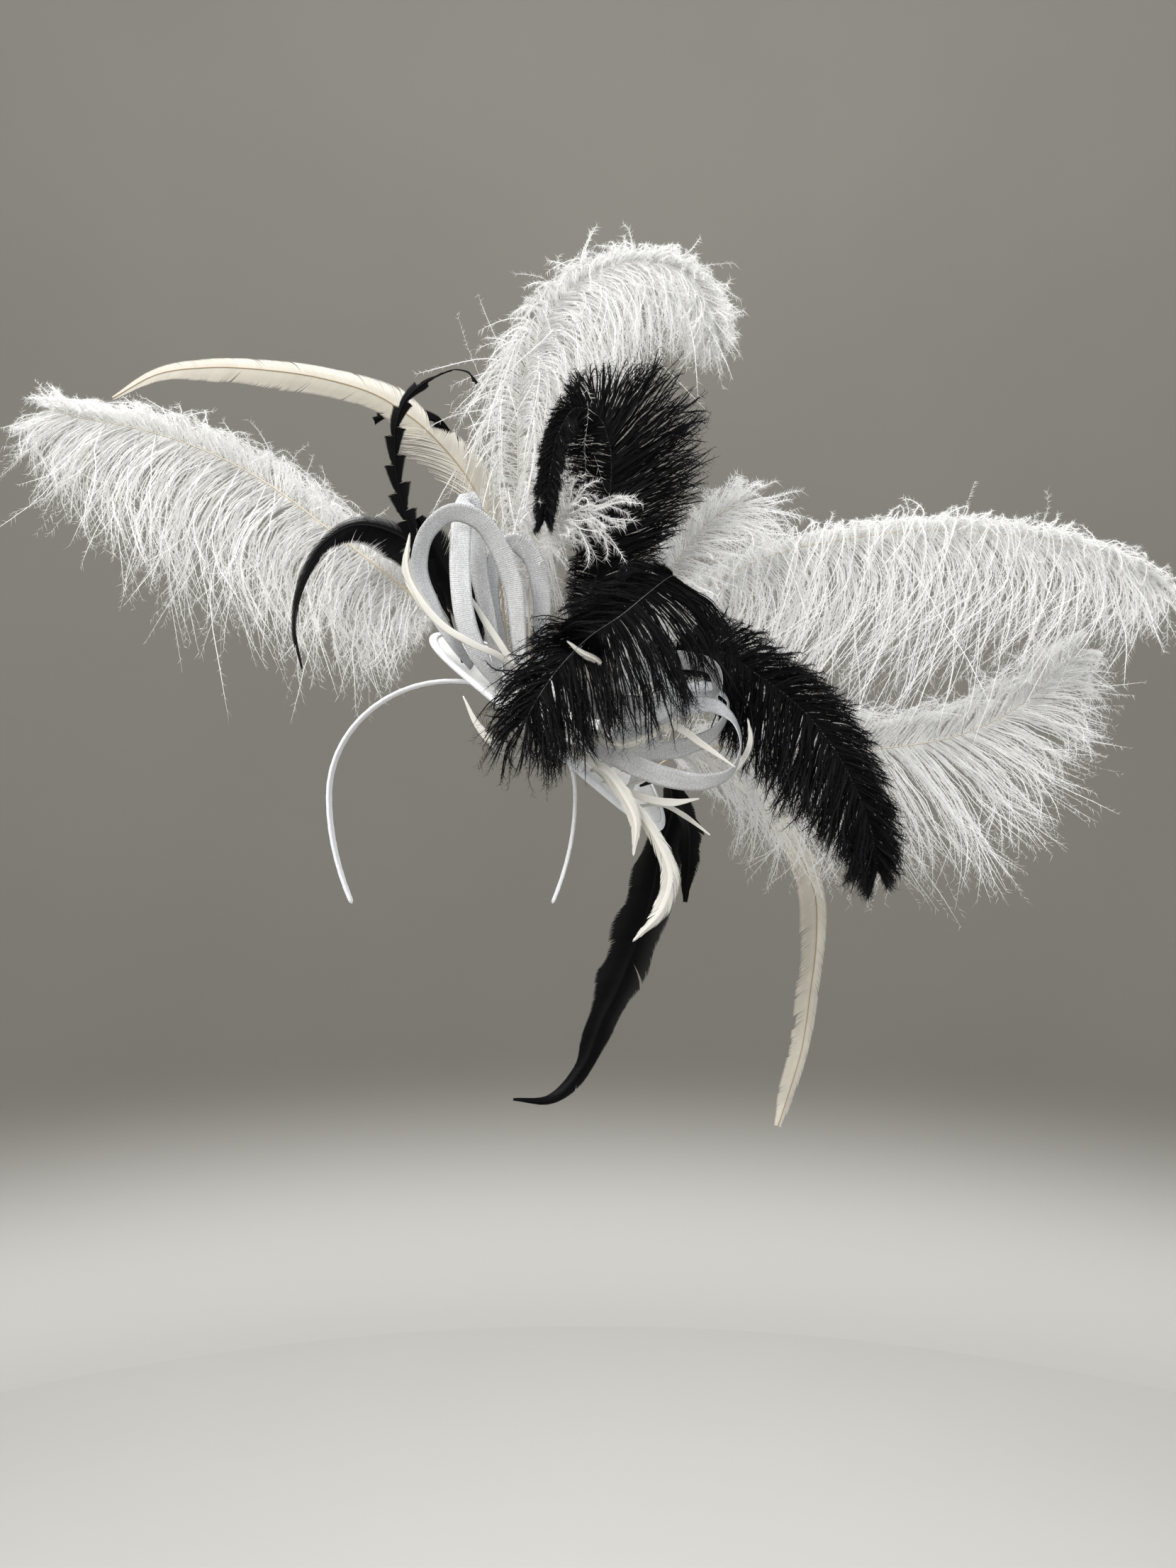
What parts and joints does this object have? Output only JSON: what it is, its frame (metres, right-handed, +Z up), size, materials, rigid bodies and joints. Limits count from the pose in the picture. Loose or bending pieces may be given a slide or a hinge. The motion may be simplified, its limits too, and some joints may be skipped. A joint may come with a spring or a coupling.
{
  "type": "fascinator",
  "caption": "Headband fascinator: a sloping oval base with curled white and black ostrich plumes, cock feathers, looped satin ribbon and ivory quills.",
  "frame": {"origin": "on the inner face of the headband at the crown, where it sits on the head", "axes": "+Z up on the wearer's head, +X to the wearer's left, the wearer faces -Y"},
  "size_m": [0.7215, 0.2161, 0.551],
  "materials": {
    "satin": "soft satin sheen",
    "straw_cloth": "stiff woven straw cloth",
    "white_plume": "fluffy matt feather",
    "black_plume": "fluffy matt feather",
    "black_feather": "smooth feather with a slight sheen",
    "ivory_feather": "smooth feather with a slight sheen",
    "ribbon": "woven satin straw ribbon",
    "ivory_quill": "smooth quill with a slight sheen"
  },
  "bodies": {
    "root": {"headband": "satin", "base_disc": "straw_cloth", "base_binding": "satin", "plume_left_white": "white_plume", "plume_top_white": "white_plume", "plume_right_white": "white_plume", "plume_lower_white": "white_plume", "tuft_center_white": "white_plume", "tuft_right_white": "white_plume", "plume_upper_black": "black_plume", "plume_center_black": "black_plume", "plume_right_black": "black_plume", "feather_sickle_black": "black_feather", "feather_body_black": "black_feather", "feather_drop_black": "black_feather", "feather_drop_black_short": "black_feather", "feather_notched_a": "black_feather", "feather_notched_b": "black_feather", "feather_long_ivory": "ivory_feather", "feather_drop_ivory": "ivory_feather", "ribbon_loop_1": "ribbon", "ribbon_loop_2": "ribbon", "ribbon_loop_3": "ribbon", "ribbon_loop_4": "ribbon", "ribbon_loop_5": "ribbon", "ribbon_loop_6": "ribbon", "ribbon_loop_7": "ribbon", "biot_1": "ivory_quill", "biot_2": "ivory_quill", "biot_3": "ivory_quill", "biot_4": "ivory_quill", "biot_5": "ivory_quill", "biot_6": "ivory_quill", "biot_7": "ivory_quill", "biot_8": "ivory_quill", "biot_9": "ivory_quill", "biot_10": "ivory_quill", "biot_11": "ivory_quill"}
  },
  "joints": []
}
